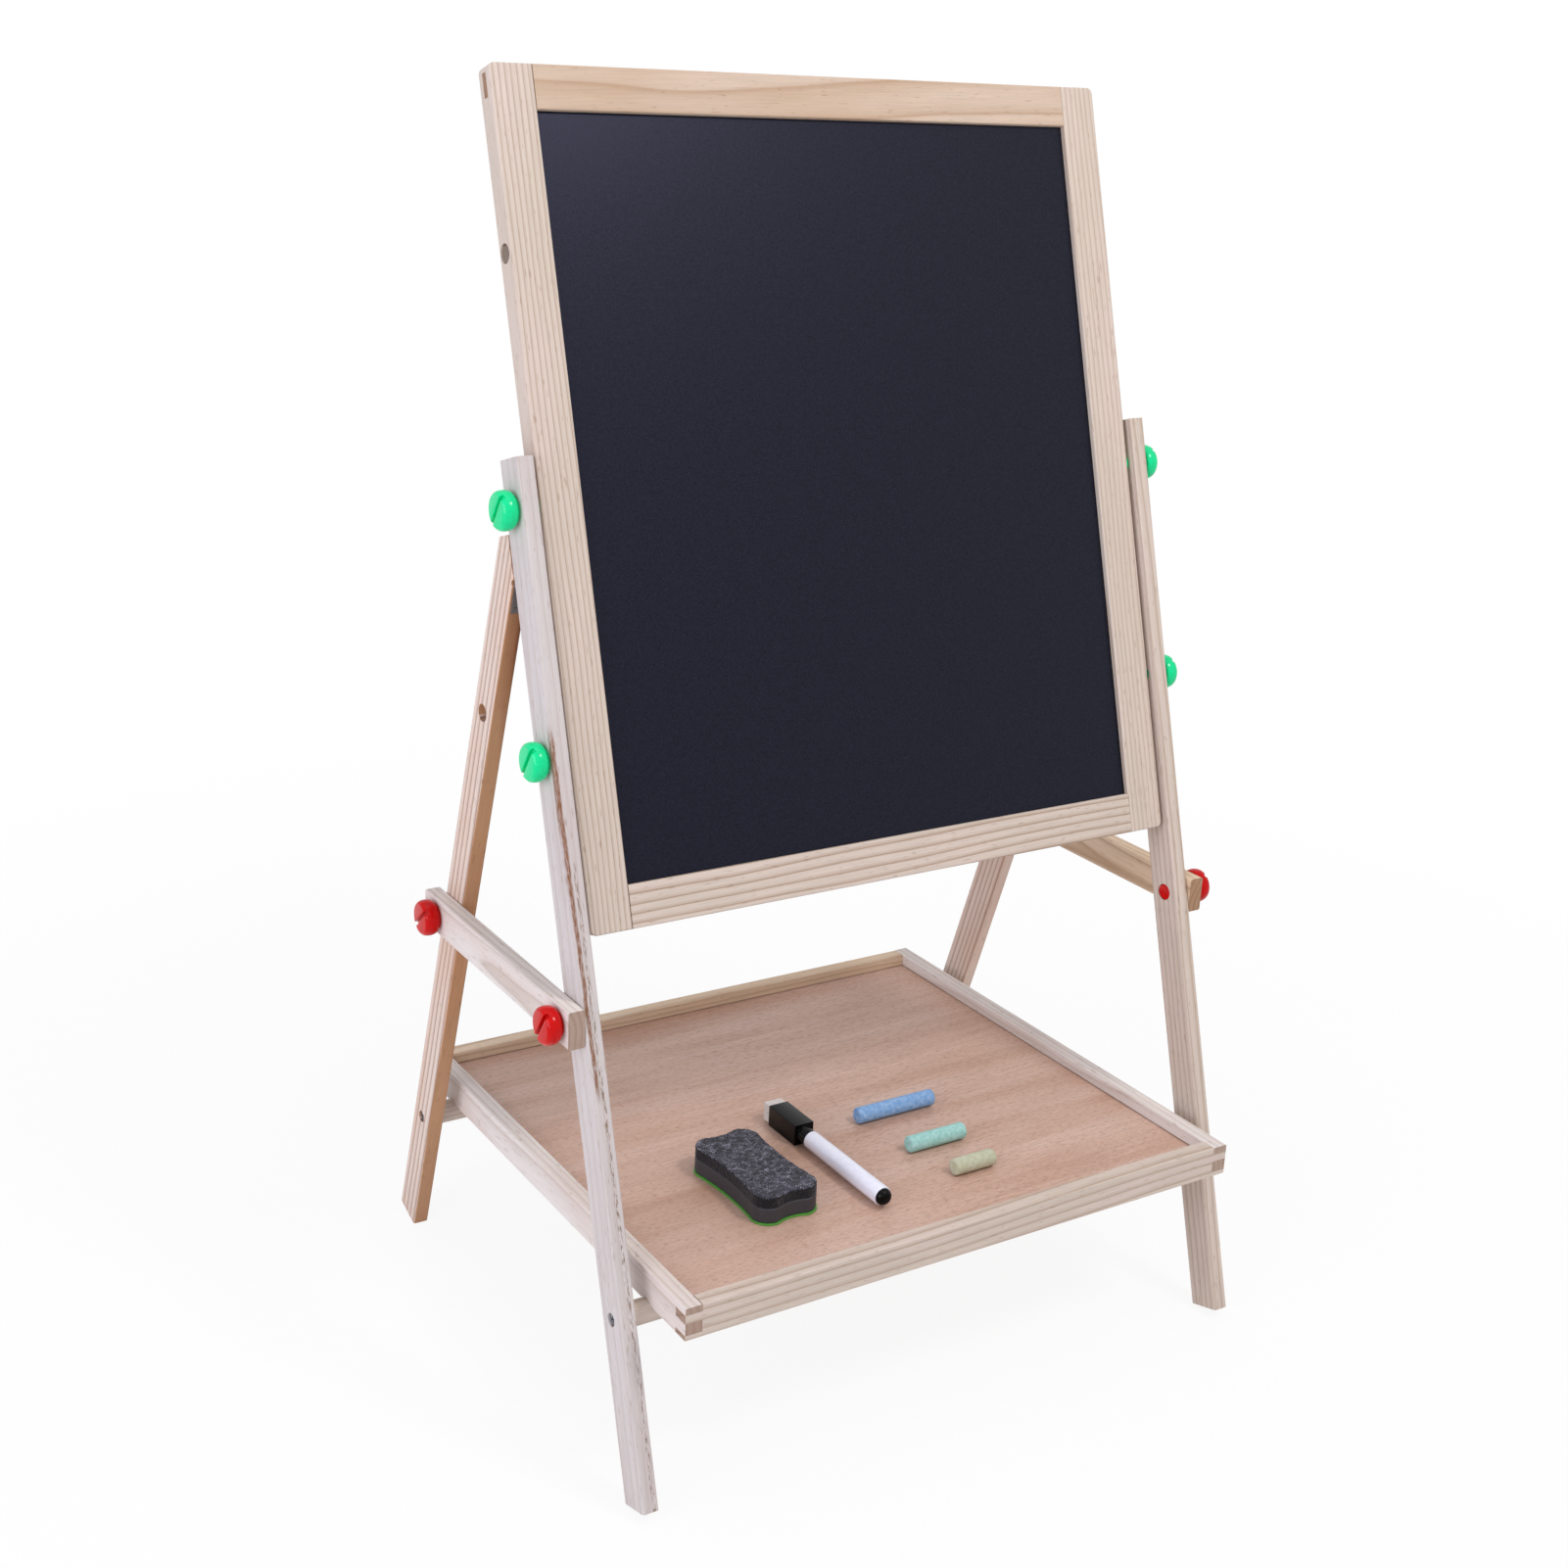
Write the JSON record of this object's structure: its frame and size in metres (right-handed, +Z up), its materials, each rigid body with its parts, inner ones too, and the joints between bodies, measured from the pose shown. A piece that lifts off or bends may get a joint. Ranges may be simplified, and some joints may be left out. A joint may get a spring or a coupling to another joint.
{
  "type": "kids easel",
  "caption": "Child's free-standing pine easel with a turning chalk and dry-wipe board, folding rear legs, bolted side braces and a lift-out tray with its kit.",
  "frame": {"origin": "on the floor, midway between the easel's sides and midway between the front feet's front edge and the tray's back edge", "axes": "+X to the right seen from the chalk side, +Y to the back, +Z up; the chalk side faces -Y"},
  "size_m": [0.447, 0.3332, 0.7003],
  "materials": {
    "pine": "satin",
    "beech_veneer": "satin",
    "zinc_steel": "satin",
    "chalkboard_paint": "matte",
    "dry_wipe_laminate": "gloss",
    "green_plastic": "gloss",
    "red_plastic": "gloss",
    "grey_felt": "fibrous",
    "charcoal_foam": "matte",
    "lime_magnet": "matte",
    "white_plastic": "gloss",
    "black_plastic": "gloss",
    "white_felt": "fibrous",
    "ink_felt": "fibrous",
    "chalk_blue_stick": "chalky",
    "chalk_green_stick": "chalky",
    "chalk_yellow_stick": "chalky"
  },
  "bodies": {
    "front_frame": {"front_leg_left": "pine", "front_leg_right": "pine", "front_dowel": "pine", "front_dowel_screws": "zinc_steel", "hinge_front_leaf_left": "zinc_steel", "hinge_front_leaf_right": "zinc_steel", "hinge_pin_left": "zinc_steel", "hinge_pin_right": "zinc_steel", "hinge_front_screws": "zinc_steel"},
    "rear_frame": {"rear_leg_left": "pine", "rear_leg_right": "pine", "rear_dowel": "pine", "rear_dowel_screws": "zinc_steel", "hinge_rear_leaf_left": "zinc_steel", "hinge_rear_leaf_right": "zinc_steel", "hinge_rear_screws": "zinc_steel"},
    "board": {"board_stile_left": "pine", "board_stile_right": "pine", "board_rail_top": "pine", "board_rail_bottom": "pine", "chalkboard_sheet": "chalkboard_paint", "whiteboard_sheet": "dry_wipe_laminate"},
    "tray": {"tray_wall_left": "pine", "tray_wall_right": "pine", "tray_wall_front": "pine", "tray_wall_back": "pine", "tray_floor": "beech_veneer"},
    "brace_left": {"brace_left": "pine"},
    "brace_right": {"brace_right": "pine"},
    "eraser": {"eraser_base": "lime_magnet", "eraser_body": "charcoal_foam", "eraser_felt": "grey_felt"},
    "marker": {"marker_barrel": "white_plastic", "marker_end_plug": "black_plastic", "marker_nib": "ink_felt"},
    "marker_cap": {"marker_cap": "black_plastic", "marker_cap_felt": "white_felt"},
    "green_bolt_upper_left": {"green_bolt_upper_left": "green_plastic"},
    "green_bolt_lower_left": {"green_bolt_lower_left": "green_plastic"},
    "red_bolt_front_left": {"red_bolt_front_left": "red_plastic"},
    "red_bolt_rear_left": {"red_bolt_rear_left": "red_plastic"},
    "green_bolt_upper_right": {"green_bolt_upper_right": "green_plastic"},
    "green_bolt_lower_right": {"green_bolt_lower_right": "green_plastic"},
    "red_bolt_front_right": {"red_bolt_front_right": "red_plastic"},
    "red_bolt_rear_right": {"red_bolt_rear_right": "red_plastic"},
    "chalk_blue": {"chalk_blue": "chalk_blue_stick"},
    "chalk_green": {"chalk_green": "chalk_green_stick"},
    "chalk_yellow": {"chalk_yellow": "chalk_yellow_stick"}
  },
  "joints": [
    {"name": "legs_fold", "type": "hinge", "parent": "front_frame", "child": "rear_frame", "pos_m": [0, 0.01726, 0.45429], "axis": [-1, 0, 0], "range_deg": [0, 34.5]},
    {"name": "tray_tip", "type": "hinge", "parent": "front_frame", "child": "tray", "pos_m": [0, -0.12235, 0.09938], "axis": [1, 0, 0], "range_deg": [0, 61.5]},
    {"name": "board_turn", "type": "hinge", "parent": "front_frame", "child": "board", "pos_m": [0, 0.01854, 0.4926], "axis": [1, 0, 0], "continuous": true},
    {"name": "brace_swing_left", "type": "hinge", "parent": "front_frame", "child": "brace_left", "pos_m": [-0.20395, -0.06893, 0.24829], "axis": [1, 0, 0], "range_deg": [0, 62]},
    {"name": "green_bolt_upper_left_turn", "type": "hinge", "parent": "front_frame", "child": "green_bolt_upper_left", "pos_m": [-0.20365, 0.01854, 0.4926], "axis": [-1, 0, 0], "continuous": true},
    {"name": "green_bolt_lower_left_turn", "type": "hinge", "parent": "front_frame", "child": "green_bolt_lower_left", "pos_m": [-0.20365, -0.02406, 0.3736], "axis": [-1, 0, 0], "continuous": true},
    {"name": "red_bolt_front_left_turn", "type": "hinge", "parent": "front_frame", "child": "red_bolt_front_left", "pos_m": [-0.21345, -0.06893, 0.24829], "axis": [-1, 0, 0], "continuous": true},
    {"name": "red_bolt_rear_left_turn", "type": "hinge", "parent": "brace_left", "child": "red_bolt_rear_left", "pos_m": [-0.21345, 0.08698, 0.24007], "axis": [-1, 0, 0], "continuous": true},
    {"name": "brace_swing_right", "type": "hinge", "parent": "front_frame", "child": "brace_right", "pos_m": [0.20395, -0.06893, 0.24829], "axis": [1, 0, 0], "range_deg": [0, 62]},
    {"name": "green_bolt_upper_right_turn", "type": "hinge", "parent": "front_frame", "child": "green_bolt_upper_right", "pos_m": [0.20365, 0.01854, 0.4926], "axis": [1, 0, 0], "continuous": true},
    {"name": "green_bolt_lower_right_turn", "type": "hinge", "parent": "front_frame", "child": "green_bolt_lower_right", "pos_m": [0.20365, -0.02406, 0.3736], "axis": [1, 0, 0], "continuous": true},
    {"name": "red_bolt_front_right_turn", "type": "hinge", "parent": "front_frame", "child": "red_bolt_front_right", "pos_m": [0.21345, -0.06893, 0.24829], "axis": [1, 0, 0], "continuous": true},
    {"name": "red_bolt_rear_right_turn", "type": "hinge", "parent": "brace_right", "child": "red_bolt_rear_right", "pos_m": [0.21345, 0.08698, 0.24007], "axis": [1, 0, 0], "continuous": true},
    {"name": "eraser_lift", "type": "slide", "parent": "tray", "child": "eraser", "axis": [0, 0.0612, 0.9981], "range_m": [0, 0.04]},
    {"name": "marker_lift", "type": "slide", "parent": "tray", "child": "marker", "axis": [0, 0.0612, 0.9981], "range_m": [0, 0.04]},
    {"name": "marker_cap_pull", "type": "slide", "parent": "marker", "child": "marker_cap", "axis": [0, 0.9981, -0.0612], "range_m": [0, 0.03]},
    {"name": "chalk_blue_lift", "type": "slide", "parent": "tray", "child": "chalk_blue", "axis": [0, 0.0612, 0.9981], "range_m": [0, 0.04]},
    {"name": "chalk_green_lift", "type": "slide", "parent": "tray", "child": "chalk_green", "axis": [0, 0.0612, 0.9981], "range_m": [0, 0.04]},
    {"name": "chalk_yellow_lift", "type": "slide", "parent": "tray", "child": "chalk_yellow", "axis": [0, 0.0612, 0.9981], "range_m": [0, 0.04]}
  ],
  "couplings": [
    {"joint": "tray_tip", "follows": "legs_fold", "ratio": 1.7826},
    {"joint": "brace_swing_left", "follows": "legs_fold", "ratio": 1.7971},
    {"joint": "brace_swing_right", "follows": "legs_fold", "ratio": 1.7971}
  ]
}
